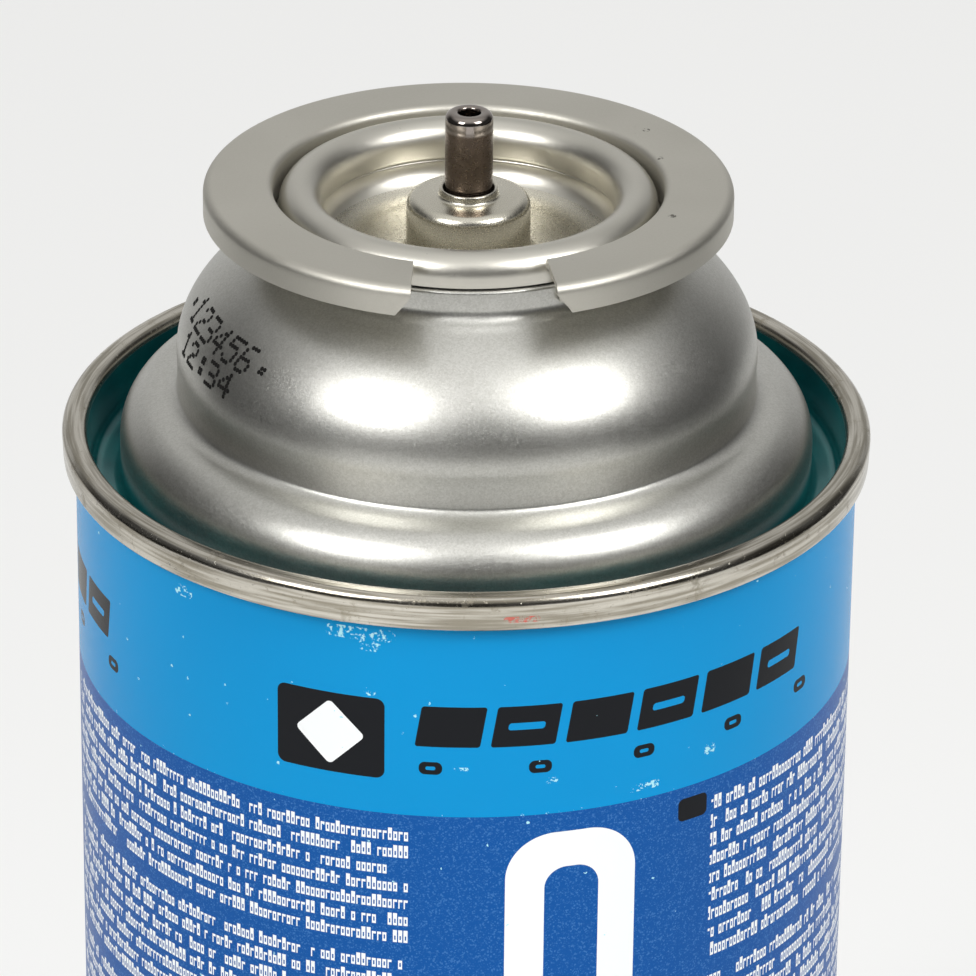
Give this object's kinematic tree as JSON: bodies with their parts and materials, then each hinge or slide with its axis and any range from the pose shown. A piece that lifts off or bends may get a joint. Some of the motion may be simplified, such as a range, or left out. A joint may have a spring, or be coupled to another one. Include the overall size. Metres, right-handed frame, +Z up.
{
  "type": "fuel canister",
  "caption": "Slim upright steel gas canister with a domed top, notched locating collar and a spring-loaded valve stem that presses down.",
  "frame": {"origin": "centre of the base, on the surface that the can stands on", "axes": "+Z up along the can's axis, -Y towards the notch in the collar"},
  "size_m": [0.0684, 0.0684, 0.186],
  "materials": {
    "printed_tin": "glossy blue printed lacquer on tinplate",
    "bright_tin": "satin tinplate with a fine sparkle",
    "satin_tin": "dull satin tinplate, slightly warm",
    "smoky_nickel": "smoky plated metal with a bright tip",
    "black_rubber": "matt",
    "white_moulding": "moulded"
  },
  "bodies": {
    "canister": {"can": "printed_tin", "mounting_cup": "bright_tin", "cup_gasket": "black_rubber", "locating_collar": "satin_tin", "stem_gasket": "black_rubber", "valve_housing": "white_moulding", "valve_spring": "smoky_nickel"},
    "stem": {"valve_stem": "smoky_nickel"}
  },
  "joints": [
    {"name": "stem_press", "type": "slide", "parent": "canister", "child": "stem", "axis": [0, 0, 1], "range_m": [-0.0022, 0], "stiffness_N_per_m": 2500, "springref_m": 0.002, "deforming": ["valve_spring"]}
  ]
}
